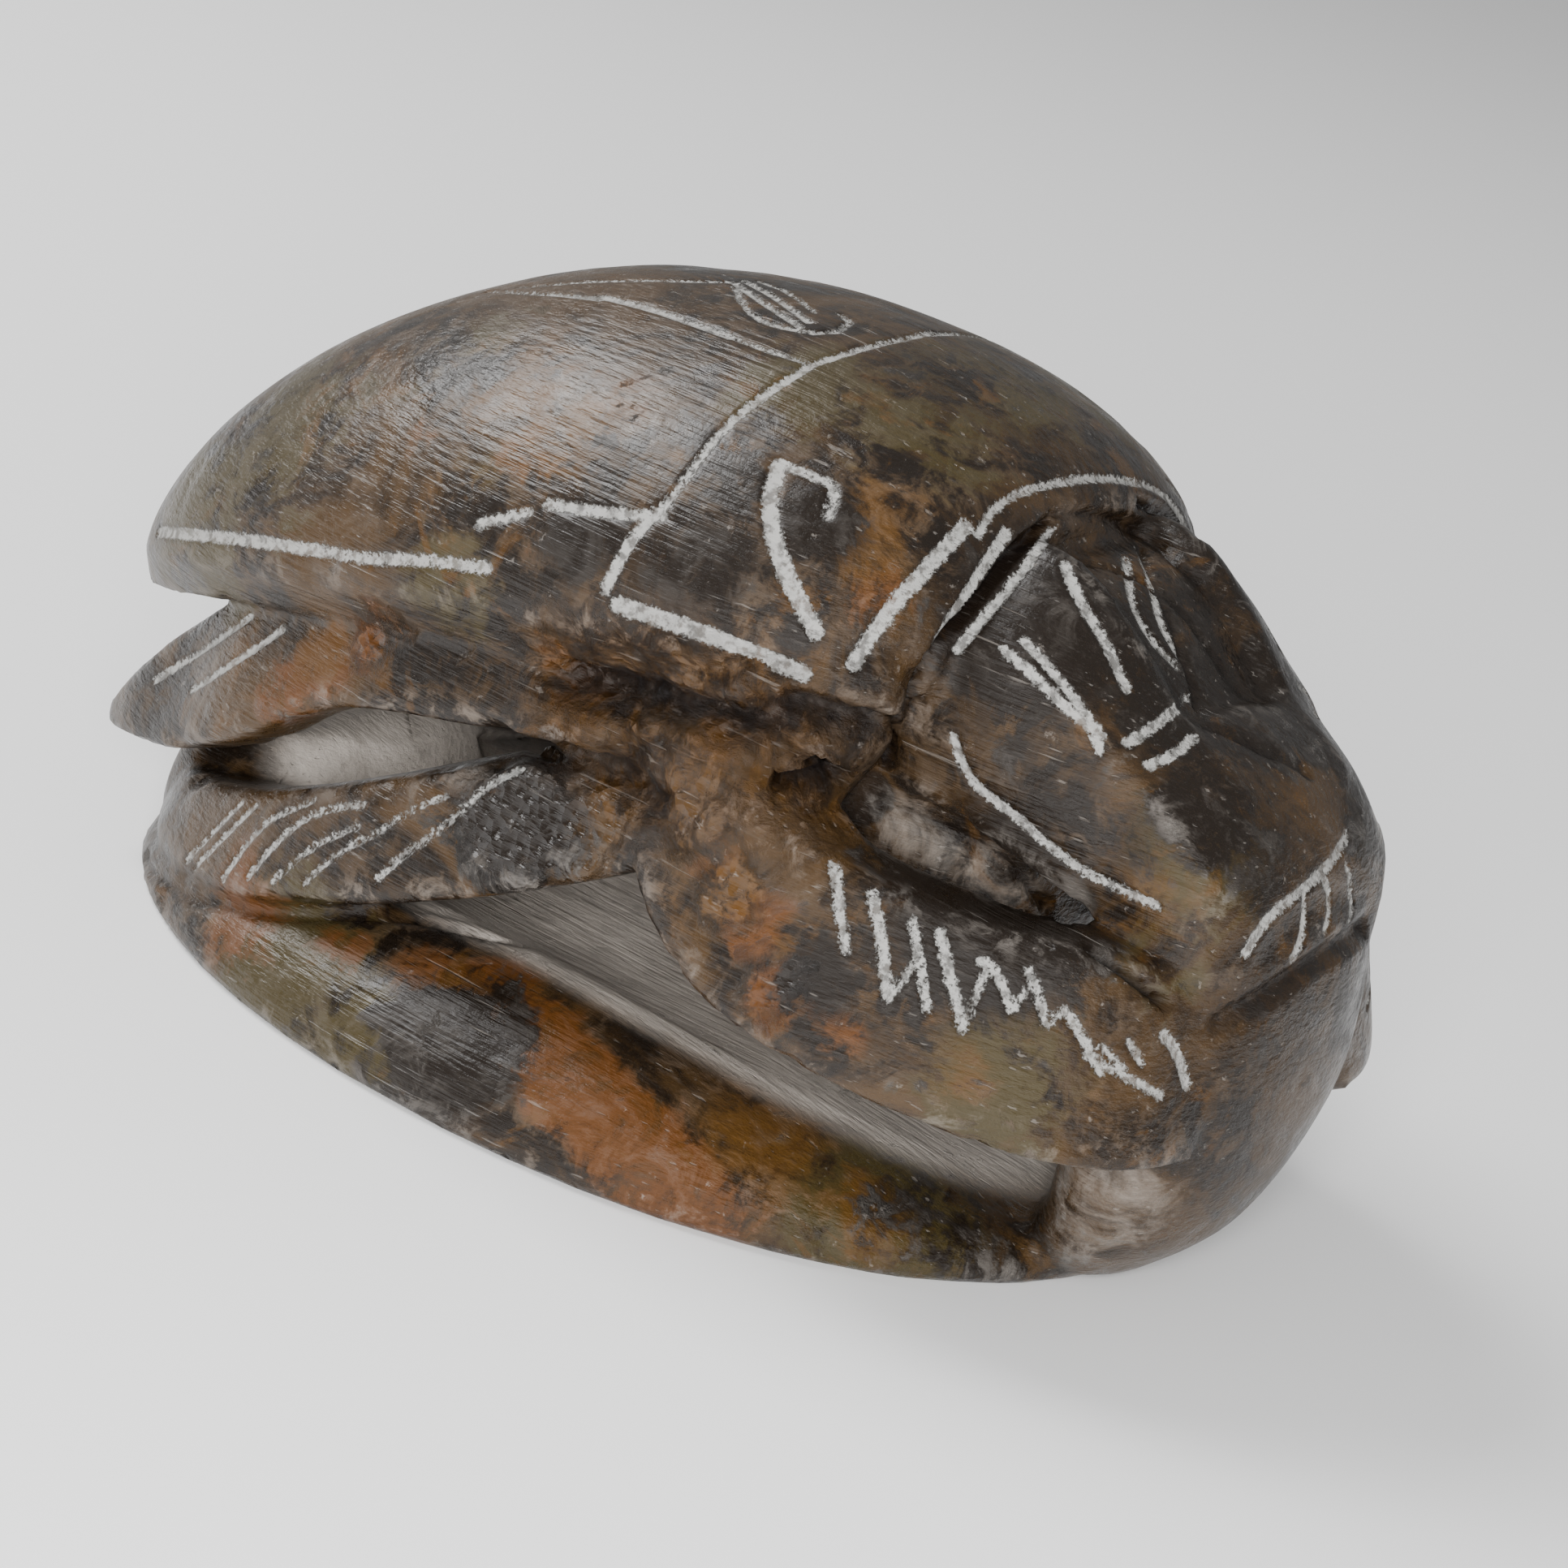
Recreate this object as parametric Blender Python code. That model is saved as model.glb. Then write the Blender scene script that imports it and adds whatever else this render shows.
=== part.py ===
"""Stone scarab carved in one piece: shell, head and pierced legs over an oval base slab.

Metres, +Z up. The head points along +X and the flat underside lies on Z = 0. The free form of
the legs, head and body is set out in shares of BODY_HEIGHT.
"""
import bmesh
import bpy
import numpy as np

BODY_HEIGHT = 0.0500

# Base slab
BASE_LENGTH = 0.0760
BASE_WIDTH = 0.0540
BASE_LIP = 0.0012
BASE_END_RISE = 0.0035
BASE_SIDE_RISE = 0.0085
BASE_FLOOR = 0.0050

# Shell: wing cases and pronotum as one dome
SHELL_WIDTH = 0.0480
SHELL_TAIL = -0.0415
SHELL_FRONT = 0.0224
SHELL_WIDEST = -0.0020
SHELL_PEAK = -0.0110
SHELL_CROWN = 0.0189
SHELL_EDGE = 0.0028
SHELL_RIM_HEIGHT = 0.0285
SHELL_PITCH = 0.22
SHELL_DROOP = 0.0035

# Head block
HEAD_LENGTH = 0.0210
HEAD_WIDTH = 0.0250
HEAD_PLATE_GAP = 0.0120
HEAD_RECESS = 0.0014

# Front wall that carries the head
WALL_REACH = 0.0455
WALL_WIDTH = 0.0230
WALL_DEPTH = 0.0114

# Tail wall
TAIL_WALL_PLACE = -0.0290
TAIL_WALL_LENGTH = 0.0144
TAIL_WALL_WIDTH = 0.0270
TAIL_WALL_HEIGHT = 0.0105

# Legs
LEG_SPREAD = 0.0200
LEG_SPLAY = 0.16
FRONT_LEG_DEPTH = 0.0118
FRONT_LEG_THICKNESS = 0.0062
MIDDLE_LEG_DEPTH = 0.0080
MIDDLE_LEG_THICKNESS = 0.0064
HIND_LEG_DEPTH = 0.0095
HIND_LEG_THICKNESS = 0.0056

ARCH_POINTS = 30
UNDER_POINTS = 12
BASE_POINTS = 52
LEG_POINTS = 12

bpy.context.scene.unit_settings.system = 'METRIC'
for old in list(bpy.data.objects):
    bpy.data.objects.remove(old, do_unlink=True)


def new_collection(name):
    made = bpy.data.collections.new(name)
    bpy.context.scene.collection.children.link(made)
    return made


PART = new_collection("stone_scarab")
SHAPES = new_collection("joined_shapes")


def stone():
    mat = bpy.data.materials.new("stone")
    mat.use_nodes = True
    bsdf = mat.node_tree.nodes["Principled BSDF"]
    bsdf.inputs["Base Color"].default_value = (0.16, 0.12, 0.08, 1.0)
    bsdf.inputs["Roughness"].default_value = 0.35
    return mat


def loft(name, rings, collection):
    """Closed skin over rings of equal length, each end closed by a fan to its middle."""
    rings = np.asarray(rings, float)
    count, around = rings.shape[:2]
    verts = rings.reshape(-1, 3).tolist()
    verts.append(rings[0].mean(axis=0).tolist())
    verts.append(rings[-1].mean(axis=0).tolist())
    faces = []
    for i in range(count - 1):
        for j in range(around):
            k = (j + 1) % around
            faces.append((i * around + j, i * around + k, (i + 1) * around + k, (i + 1) * around + j))
    last = (count - 1) * around
    for j in range(around):
        k = (j + 1) % around
        faces.append((count * around, k, j))
        faces.append((count * around + 1, last + j, last + k))
    mesh = bpy.data.meshes.new(name)
    mesh.from_pydata(verts, [], faces)
    skin = bmesh.new()
    skin.from_mesh(mesh)
    bmesh.ops.triangulate(skin, faces=skin.faces)
    bmesh.ops.recalc_face_normals(skin, faces=skin.faces)
    skin.to_mesh(mesh)
    skin.free()
    obj = bpy.data.objects.new(name, mesh)
    collection.objects.link(obj)
    return obj


def smooth_path(points, count):
    """Catmull-Rom curve through the points, cut into the given number of steps."""
    pts = np.asarray(points, float)
    ends = np.vstack([2 * pts[0] - pts[1], pts, 2 * pts[-1] - pts[-2]])
    out = []
    for s in np.linspace(0, len(pts) - 1, count):
        i = min(int(s), len(pts) - 2)
        t = s - i
        a, b, c, d = ends[i:i + 4]
        out.append(0.5 * (2 * b + (c - a) * t + (2 * a - 5 * b + 4 * c - d) * t ** 2
                          + (3 * b - a - 3 * c + d) * t ** 3))
    return np.array(out)


def oval(half_x, half_y, power, around):
    """Points of a superellipse in plan, counter-clockwise, and how far each turns to the side."""
    a = np.linspace(0, 2 * np.pi, around, endpoint=False)
    c, s = np.cos(a), np.sin(a)
    x = half_x * np.sign(c) * np.abs(c) ** (2 / power)
    y = half_y * np.sign(s) * np.abs(s) ** (2 / power)
    return x, y, np.abs(s)


# Base: a low pebble whose crest is higher along the sides than at its two ends
def base_slab():
    x, y, side = oval(BASE_LENGTH / 2, BASE_WIDTH / 2, 2.05, BASE_POINTS)
    crest = BASE_END_RISE + (BASE_SIDE_RISE - BASE_END_RISE) * side ** 1.6
    #         share  lip  rise
    steps = [(0.99, 0.0, 0.0), (1.0, 0.6, 0.0), (0.975, 1.0, 0.28), (0.93, 1.0, 0.52),
             (0.86, 1.0, 0.74), (0.77, 1.0, 0.92), (0.66, 1.0, 1.0)]
    rings = []
    for share, lip, rise in steps:
        z = lip * BASE_LIP + rise * (crest - BASE_LIP)
        rings.append(np.stack([share * x, share * y, z], axis=1))
    for share, mix in ((0.55, 0.8), (0.42, 0.3), (0.22, 0.0)):
        z = mix * crest + (1 - mix) * BASE_FLOOR
        rings.append(np.stack([share * x, share * y, z], axis=1))
    return loft("base_slab", rings, SHAPES)


def shell_half_width(x):
    ahead = np.clip((x - SHELL_WIDEST) / (1.08 * (SHELL_FRONT - SHELL_WIDEST)), 0, 1)
    behind = np.clip((SHELL_WIDEST - x) / (SHELL_WIDEST - SHELL_TAIL), 0, 1)
    front = (1 - ahead ** 3.2) ** (1 / 3.2)
    tail = (1 - behind ** 2.6) ** (1 / 2.6)
    return SHELL_WIDTH / 2 * np.where(x > SHELL_WIDEST, front, tail)


def shell_low(x):
    behind = np.clip(x / SHELL_TAIL, 0, 1)
    return SHELL_RIM_HEIGHT + SHELL_PITCH * x - SHELL_DROOP * behind ** 2


def shell_rise(x):
    ahead = np.clip((x - SHELL_PEAK) / (1.08 * (SHELL_FRONT - SHELL_PEAK)), 0, 1)
    behind = np.clip((SHELL_PEAK - x) / (SHELL_PEAK - SHELL_TAIL), 0, 1)
    front = (1 - ahead ** 2.1) ** (1 / 2.1)
    tail = (1 - behind ** 2.0) ** (1 / 2.0)
    return SHELL_CROWN * np.where(x > SHELL_PEAK, front, tail)


# Shell: arched sections from tail to neck, each with a thin upright edge and a flat underside
def shell():
    sweep = 0.82 * np.pi * np.linspace(0.02, 1, 28)
    stations = SHELL_TAIL + (SHELL_FRONT - SHELL_TAIL) * (1 - np.cos(sweep)) / (1 - np.cos(sweep[-1]))
    arch = np.linspace(0, np.pi, ARCH_POINTS)
    across = np.linspace(-0.94, 0.94, UNDER_POINTS + 2)[1:-1]
    rings = []
    for x in stations:
        half = float(shell_half_width(x))
        low = float(shell_low(x))
        edge = min(SHELL_EDGE, 0.25 * half + 0.3 * SHELL_EDGE)
        y = np.concatenate([half * np.cos(arch), half * across])
        z = np.concatenate([low + edge + float(shell_rise(x)) * np.sin(arch),
                            low + 0.3 * SHELL_EDGE * (1 - across ** 2)])
        rings.append(np.stack([x + 0 * y, y, z], axis=1))
    return loft("shell", rings, PART)


# Head: sections from neck to clypeus, with two raised plates beside a sunk forehead
def head():
    #         along  top    shoulder low    width recess
    shape = [(-0.33, 0.840, 0.730, 0.530, 1.10, 0.6),
             (0.09, 0.850, 0.750, 0.524, 1.10, 1.0),
             (0.31, 0.810, 0.730, 0.504, 1.07, 1.0),
             (0.525, 0.736, 0.684, 0.480, 1.00, 1.0),
             (0.60, 0.710, 0.664, 0.468, 0.95, 0.1),
             (0.78, 0.672, 0.616, 0.444, 0.92, 0.0),
             (0.92, 0.616, 0.566, 0.424, 0.84, 0.0),
             (1.00, 0.560, 0.520, 0.416, 0.66, 0.0)]
    rings = []
    for along, top, shoulder, low, width, sunk in smooth_path(shape, 20):
        x = SHELL_FRONT + along * HEAD_LENGTH
        top, shoulder, low = BODY_HEIGHT * top, BODY_HEIGHT * shoulder, BODY_HEIGHT * low
        half = HEAD_WIDTH / 2 * width
        plate = HEAD_PLATE_GAP / 2 * width
        floor = top - HEAD_RECESS * max(sunk, 0.0)
        right = [(0.62 * half, low), (0.97 * half, 0.9 * low + 0.1 * shoulder),
                 (half, 0.5 * (low + shoulder)), (0.95 * half, shoulder),
                 (0.72 * half, 0.35 * shoulder + 0.65 * top), (1.12 * plate, top), (plate, top),
                 (0.86 * plate, floor)]
        left = [(-y, z) for y, z in reversed(right)]
        ring = right + [(0.0, floor + 0.3 * HEAD_RECESS)] + left + [(0.0, low)]
        rings.append([(x, y, z) for y, z in ring])
    return loft("head", rings, SHAPES)


# Front wall: upright prow between the base and the clypeus
def front_wall():
    #         height reach  width depth
    shape = [(0.02, 0.865, 0.66, 0.70), (0.09, 0.935, 0.80, 0.81), (0.18, 0.975, 0.93, 0.93),
             (0.28, 0.998, 1.00, 1.00), (0.38, 1.000, 0.96, 0.98), (0.48, 0.985, 0.90, 0.96),
             (0.55, 0.950, 0.78, 0.88)]
    rings = []
    for height, reach, width, depth in smooth_path(shape, 12):
        half = WALL_DEPTH / 2 * depth
        x, y, _ = oval(half, WALL_WIDTH / 2 * width, 2.2, 36)
        rings.append(np.stack([x + reach * WALL_REACH - half, y, height * BODY_HEIGHT + 0 * x], axis=1))
    return loft("front_wall", rings, SHAPES)


# Tail wall: joins the feet of the middle legs on the base and reaches the hind legs
def tail_wall():
    #         height length width
    shape = [(0.10, 0.97, 0.96), (0.38, 1.00, 1.00), (0.76, 0.86, 0.96), (1.00, 0.58, 0.81)]
    rings = []
    for height, length, width in smooth_path(shape, 7):
        x, y, _ = oval(TAIL_WALL_LENGTH / 2 * length, TAIL_WALL_WIDTH / 2 * width, 2.6, 28)
        rings.append(np.stack([x + TAIL_WALL_PLACE, y, height * TAIL_WALL_HEIGHT + 0 * x], axis=1))
    return loft("tail_wall", rings, SHAPES)


# Belly: the body under the shell, from neck to the middle of the wing cases
def belly():
    #         along   height  half width  half depth
    shape = [(-0.48, 0.44, 0.08, 0.06), (-0.30, 0.45, 0.20, 0.10), (0.00, 0.47, 0.26, 0.156),
             (0.24, 0.48, 0.30, 0.204), (0.47, 0.50, 0.24, 0.216), (0.58, 0.54, 0.192, 0.16)]
    rings = []
    for along, height, half_y, half_z in smooth_path(shape, 10) * BODY_HEIGHT:
        y, up, _ = oval(half_y, half_z, 2.3, 24)
        rings.append(np.stack([along + 0 * y, y, height + up], axis=1))
    return loft("belly", rings, SHAPES)


def blade(name, pose, depth, thickness, side):
    """Leg swept along its pose, its lower edge leaning outward.

    The pose has rows of place along the body, place inward and height as shares of
    BODY_HEIGHT, then shares of the leg's depth and thickness.
    """
    run = smooth_path(pose, 18)
    middle = run[:, :3] * BODY_HEIGHT - (0.0, LEG_SPREAD, 0.0)
    a = np.linspace(0, 2 * np.pi, LEG_POINTS, endpoint=False) + np.pi / LEG_POINTS
    c = np.sign(np.cos(a)) * np.abs(np.cos(a)) ** 0.55
    s = np.sign(np.sin(a)) * np.abs(np.sin(a)) ** 0.55
    rings = []
    for i, centre in enumerate(middle):
        ahead = middle[min(i + 1, len(run) - 1)] - middle[max(i - 1, 0)]
        ahead = ahead / np.linalg.norm(ahead)
        across = np.cross(ahead, (0.0, 0.0, 1.0))
        across = across * (-np.sign(across[1]) / np.linalg.norm(across))
        up = np.array([0.0, 0.0, 1.0]) - ahead * ahead[2]
        up = up / np.linalg.norm(up)
        half_depth, half_thick = depth / 2 * run[i, 3], thickness / 2 * run[i, 4]
        outward = c * half_thick - 2 * LEG_SPLAY * half_depth * s
        ring = centre + np.outer(outward, across) + np.outer(s * half_depth, up)
        rings.append(ring * (1.0, side, 1.0))
    return loft(name, rings, SHAPES)


# Legs are set out on the -Y side and turned over for the +Y side
def front_leg(tag, side):
    pose = [(0.250, 0.020, 0.524, 0.62, 1.00), (0.330, -0.008, 0.440, 0.84, 1.10),
            (0.450, -0.020, 0.392, 0.93, 1.00), (0.640, 0.036, 0.370, 0.97, 0.95),
            (0.770, 0.120, 0.366, 1.00, 0.90), (0.820, 0.248, 0.344, 0.84, 0.80)]
    return blade("front_leg_" + tag, pose, FRONT_LEG_DEPTH, FRONT_LEG_THICKNESS, side)


def middle_leg(tag, side):
    pose = [(0.22, 0.028, 0.480, 0.95, 1.10), (0.06, 0.004, 0.380, 0.98, 1.00),
            (-0.16, -0.008, 0.260, 0.95, 1.00), (-0.36, 0.028, 0.164, 0.84, 1.00),
            (-0.53, 0.116, 0.112, 0.66, 1.00), (-0.64, 0.250, 0.100, 0.55, 1.00)]
    return blade("middle_leg_" + tag, pose, MIDDLE_LEG_DEPTH, MIDDLE_LEG_THICKNESS, side)


def hind_leg(tag, side):
    pose = [(0.14, 0.020, 0.560, 0.63, 1.00), (-0.18, 0.016, 0.480, 0.59, 1.00),
            (-0.33, 0.030, 0.424, 0.67, 1.00), (-0.46, 0.060, 0.360, 1.00, 1.00),
            (-0.59, 0.110, 0.272, 0.84, 0.90), (-0.69, 0.130, 0.208, 0.48, 0.70),
            (-0.764, 0.150, 0.160, 0.15, 0.30)]
    return blade("hind_leg_" + tag, pose, HIND_LEG_DEPTH, HIND_LEG_THICKNESS, side)


def hub(tag, side):
    """Knotted mass from which the three legs of a side start."""
    #         height half length  half width
    shape = [(0.39, 0.060, 0.060), (0.45, 0.100, 0.084), (0.51, 0.152, 0.104),
             (0.57, 0.188, 0.112), (0.62, 0.204, 0.104), (0.67, 0.192, 0.088)]
    shape = smooth_path(shape, 8) * BODY_HEIGHT
    lift = (shape[:, 0] - shape[0, 0]) / (shape[-1, 0] - shape[0, 0])
    rings = []
    for (z, half_x, half_y), tilt in zip(shape, lift * SHELL_PITCH):
        x, y, _ = oval(half_x, half_y, 2.2, 20)
        place = y - LEG_SPREAD + 0.06 * BODY_HEIGHT
        rings.append(np.stack([x + 0.236 * BODY_HEIGHT, side * place, z + tilt * x], axis=1))
    return loft("hub_" + tag, rings, SHAPES)


body = shell()
joined = [belly(), head(), front_wall(), base_slab(), tail_wall()]
for tag, side in (("right", 1.0), ("left", -1.0)):
    joined += [hub(tag, side), front_leg(tag, side), middle_leg(tag, side), hind_leg(tag, side)]
for other in joined:
    other.hide_render = True
    other.display_type = 'WIRE'
join = body.modifiers.new("join_shapes", 'BOOLEAN')
join.operation = 'UNION'
join.solver = 'EXACT'
join.operand_type = 'COLLECTION'
join.collection = SHAPES

body.name = "scarab"
body.data.name = "scarab"
body.data.materials.append(stone())
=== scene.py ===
"""Looks of the stone scarab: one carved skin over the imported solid, its engraved strokes and its stone.

Metres, +Z up, the head along +X. The skin repeats the solid's forms at a finer step, is run
together into one surface, and then gets its chips, hand unevenness and engraved strokes.
"""
import itertools

import bmesh
import bpy
import numpy as np
from mathutils import Matrix, Vector
from mathutils.bvhtree import BVHTree


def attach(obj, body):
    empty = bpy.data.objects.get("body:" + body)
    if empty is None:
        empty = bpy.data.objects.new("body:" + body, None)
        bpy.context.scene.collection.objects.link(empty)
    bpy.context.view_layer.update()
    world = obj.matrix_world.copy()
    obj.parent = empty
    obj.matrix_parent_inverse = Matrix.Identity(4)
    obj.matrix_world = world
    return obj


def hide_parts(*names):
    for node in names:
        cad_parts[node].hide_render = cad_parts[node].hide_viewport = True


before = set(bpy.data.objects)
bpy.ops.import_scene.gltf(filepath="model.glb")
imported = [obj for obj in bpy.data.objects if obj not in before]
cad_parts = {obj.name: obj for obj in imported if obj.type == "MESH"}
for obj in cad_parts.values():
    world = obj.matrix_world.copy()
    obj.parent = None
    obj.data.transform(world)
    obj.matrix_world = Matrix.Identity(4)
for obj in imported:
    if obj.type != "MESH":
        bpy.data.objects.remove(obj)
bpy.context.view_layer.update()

MM = 0.001
BODY_HEIGHT = 50 * MM

# Base slab
BASE_LENGTH = 76 * MM
BASE_WIDTH = 54 * MM
BASE_LIP = 1.2 * MM
BASE_END_RISE = 3.5 * MM
BASE_SIDE_RISE = 8.5 * MM
BASE_FLOOR = 5 * MM

# Shell
SHELL_WIDTH = 48 * MM
SHELL_TAIL = -41.5 * MM
SHELL_FRONT = 22.4 * MM
SHELL_WIDEST = -2 * MM
SHELL_PEAK = -11 * MM
SHELL_CROWN = 18.9 * MM
SHELL_EDGE = 2.8 * MM
SHELL_RIM_HEIGHT = 28.5 * MM
SHELL_PITCH = 0.22
SHELL_DROOP = 3.5 * MM

# Head
HEAD_LENGTH = 21 * MM
HEAD_WIDTH = 25 * MM
HEAD_PLATE_GAP = 12 * MM
HEAD_RECESS = 1.4 * MM

# Walls
WALL_REACH = 45.5 * MM
WALL_WIDTH = 23 * MM
WALL_DEPTH = 11.4 * MM
TAIL_WALL_PLACE = -29 * MM
TAIL_WALL_LENGTH = 14.4 * MM
TAIL_WALL_WIDTH = 27 * MM
TAIL_WALL_HEIGHT = 10.5 * MM

# Legs
LEG_SPREAD = 20 * MM
LEG_SPLAY = 0.16
LEG_SECTION_POWER = 0.30
FRONT_LEG = (11.8 * MM, 6.2 * MM)
MIDDLE_LEG = (8.0 * MM, 6.4 * MM)
HIND_LEG = (9.5 * MM, 5.6 * MM)

# Skin
VOXEL = 0.44 * MM
MOST_TRIANGLES = 196000
RELAX_PASSES = 2
RELAX_SHARE = 0.4

# Grooves of the strokes, in mm: their depth, and where their wall starts and ends inside the outline
GROOVE_DEPTH = 0.16
GROOVE_WALL = (-0.12, 0.25)
# Chips: depth in mm, size, the noise at which one starts and is full, and the bend in mm over one
# mesh step that counts as a sharp edge
CHIP_DEPTH = 0.45
CHIP_SIZE = 2.2 * MM
CHIP_NOISE = (0.25, 0.8)
SHARP_BEND = 0.02
# Depth in mm at which the painted shade in a cut is full
FULL_SHADE_DEPTH = 1.6
# The mesh is made finer this far in mm outside a stroke, and where a cut is deeper than this
BESIDE_STROKE = 0.45
LEAST_CUT = 0.05
# Unevenness of hand work, as depth in mm and size of its humps, everywhere and on the knotted stone
HAND_WORK = ((0.10, 9 * MM), (0.05, 3.5 * MM))
KNOTTED_WORK = ((0.30, 2.6 * MM), (0.22, 1.3 * MM))
# Knotted stone at the root of the legs, in mm
KNOT_MIDDLE = (11, 21, 28)
KNOT_HALF_SIZE = (15, 12, 9)
# Nothing is carved at the foot of the slab, so that it stands flat
FLAT_BELOW = 0.2 * MM
CARVED_ABOVE = 1.5 * MM
# The hollow between base and shell: its half sizes, the heights between which its bare stone, made pale also
# as painted light, gives way to polish, and the height up to which it may be meshed coarsely
HOLLOW_HALF_LENGTH = 30 * MM
HOLLOW_HALF_WIDTH = 17 * MM
HOLLOW_BARE_LIT = 12 * MM
HOLLOW_POLISHED = 20 * MM
HOLLOW_PLAIN = 26 * MM

# Photograph: its square frame in pixels, and the camera that it was taken with
FRAME_PX = 1932
VIEW_TURN = np.radians(31.7)
VIEW_TILT = np.radians(19.2)
VIEW_ROLL = np.radians(14.0)
VIEW_DISTANCE = 275 * MM
VIEW_TARGET = np.array([0.0, 0.0, 20 * MM])
VIEW_FOCAL_PX = 5307.9
VIEW_TARGET_PX = (882.2, 903.0)


def smooth_path(points, count):
    """Catmull-Rom curve through the rows, at count even steps: each piece is the cubic whose ends
    pass the two inner rows with half the difference of their neighbours as slope."""
    pts = np.asarray(points, float)
    ends = np.vstack([2 * pts[0] - pts[1], pts, 2 * pts[-1] - pts[-2]])
    s = np.linspace(0, len(pts) - 1, count)
    i = np.minimum(s.astype(int), len(pts) - 2)
    t = (s - i)[:, None]
    a, b, c, d = ends[i], ends[i + 1], ends[i + 2], ends[i + 3]
    return 0.5 * (2 * b + (c - a) * t + (2 * a - 5 * b + 4 * c - d) * t ** 2
                  + (3 * b - a - 3 * c + d) * t ** 3)


def signed_power(value, power):
    """The size of the value to the power, with the value's own sign."""
    return np.sign(value) * np.abs(value) ** power


def oval(power, around):
    """Superellipse of half width 1: each axis is the cosine or sine to the power 2 / power."""
    a = np.linspace(0, 2 * np.pi, around, endpoint=False)
    return signed_power(np.cos(a), 2 / power), signed_power(np.sin(a), 2 / power), np.abs(np.sin(a))


def skin(rings):
    """Closed skin over a grid of rings: quads between neighbours, and a fan at each end."""
    rings = np.asarray(rings, float)
    count, around = rings.shape[:2]
    verts = np.vstack([rings.reshape(-1, 3), rings[0].mean(axis=0), rings[-1].mean(axis=0)])
    i, j = np.meshgrid(np.arange(count - 1), np.arange(around), indexing="ij")
    k = (j + 1) % around
    quads = np.stack([i * around + j, i * around + k, (i + 1) * around + k, (i + 1) * around + j], axis=-1)
    j, last = np.arange(around), (count - 1) * around
    k = (j + 1) % around
    first_cap = np.stack([np.full(around, count * around), k, j], axis=1)
    last_cap = np.stack([np.full(around, count * around + 1), last + j, last + k], axis=1)
    return verts, quads.reshape(-1, 4).tolist() + first_cap.tolist() + last_cap.tolist()


def base_slab():
    """Oval rings shrink and climb from the lip to the crest, then sink to a shallow floor.
    The crest is the end rise plus the sideways share to the power 1.6 of what the sides add."""
    x, y, side = oval(2.05, 220)
    crest = BASE_END_RISE + (BASE_SIDE_RISE - BASE_END_RISE) * side ** 1.6
    #                     share  lip  rise
    steps = smooth_path([(0.985, 0.0, 0.0), (1.0, 0.6, 0.0), (0.975, 1.0, 0.28), (0.93, 1.0, 0.52),
                         (0.86, 1.0, 0.74), (0.77, 1.0, 0.92), (0.66, 1.0, 1.0)], 40)
    share, lip, rise = steps.T[:, :, None]
    z = np.maximum(lip, 0) * BASE_LIP + np.maximum(rise, 0) * (crest - BASE_LIP)
    rings = np.stack([share * x * BASE_LENGTH / 2, share * y * BASE_WIDTH / 2, z], axis=-1)
    sink = smooth_path([(0.62, 0.97), (0.55, 0.8), (0.42, 0.3), (0.22, 0.0), (0.05, 0.0)], 12)
    share, mix = sink.T[:, :, None]
    z = mix * crest + (1 - mix) * BASE_FLOOR
    floor = np.stack([share * x * BASE_LENGTH / 2, share * y * BASE_WIDTH / 2, z], axis=-1)
    return skin(np.concatenate([rings, floor]))


def shell_half_width(x):
    """Plan of the shell: one superellipse from the widest place forward, and another to the tail."""
    ahead = np.clip((x - SHELL_WIDEST) / (1.08 * (SHELL_FRONT - SHELL_WIDEST)), 0, 1)
    behind = np.clip((SHELL_WIDEST - x) / (SHELL_WIDEST - SHELL_TAIL), 0, 1)
    front = (1 - ahead ** 3.2) ** (1 / 3.2)
    tail = (1 - behind ** 2.6) ** (1 / 2.6)
    return SHELL_WIDTH / 2 * np.where(x > SHELL_WIDEST, front, tail)


def shell_low(x):
    """Height of the rim: it climbs forward by SHELL_PITCH and droops with the square of the way back."""
    return SHELL_RIM_HEIGHT + SHELL_PITCH * x - SHELL_DROOP * np.clip(x / SHELL_TAIL, 0, 1) ** 2


def shell_rise(x):
    """Crown over the rim: one superellipse from the peak forward, and an ellipse to the tail."""
    ahead = np.clip((x - SHELL_PEAK) / (1.08 * (SHELL_FRONT - SHELL_PEAK)), 0, 1)
    behind = np.clip((SHELL_PEAK - x) / (SHELL_PEAK - SHELL_TAIL), 0, 1)
    front = (1 - ahead ** 2.1) ** (1 / 2.1)
    tail = (1 - behind ** 2.0) ** (1 / 2.0)
    return SHELL_CROWN * np.where(x > SHELL_PEAK, front, tail)


def shell():
    """Half-ellipse sections on stations that crowd to the tail, over a thin edge and a flat underside."""
    sweep = 0.82 * np.pi * np.linspace(0.015, 1, 130)[:, None]
    x = SHELL_TAIL + (SHELL_FRONT - SHELL_TAIL) * (1 - np.cos(sweep)) / (1 - np.cos(sweep[-1]))
    arch = np.linspace(0, np.pi, 130)
    across = np.linspace(-0.94, 0.94, 60)[1:-1]
    half, low = shell_half_width(x), shell_low(x)
    edge = np.minimum(SHELL_EDGE, 0.25 * half + 0.3 * SHELL_EDGE)
    y = np.concatenate([half * np.cos(arch), half * across], axis=1)
    z = np.concatenate([low + edge + shell_rise(x) * np.sin(arch),
                        low + 0.3 * SHELL_EDGE * (1 - across ** 2)], axis=1)
    return skin(np.stack([x + 0 * y, y, z], axis=-1))


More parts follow.
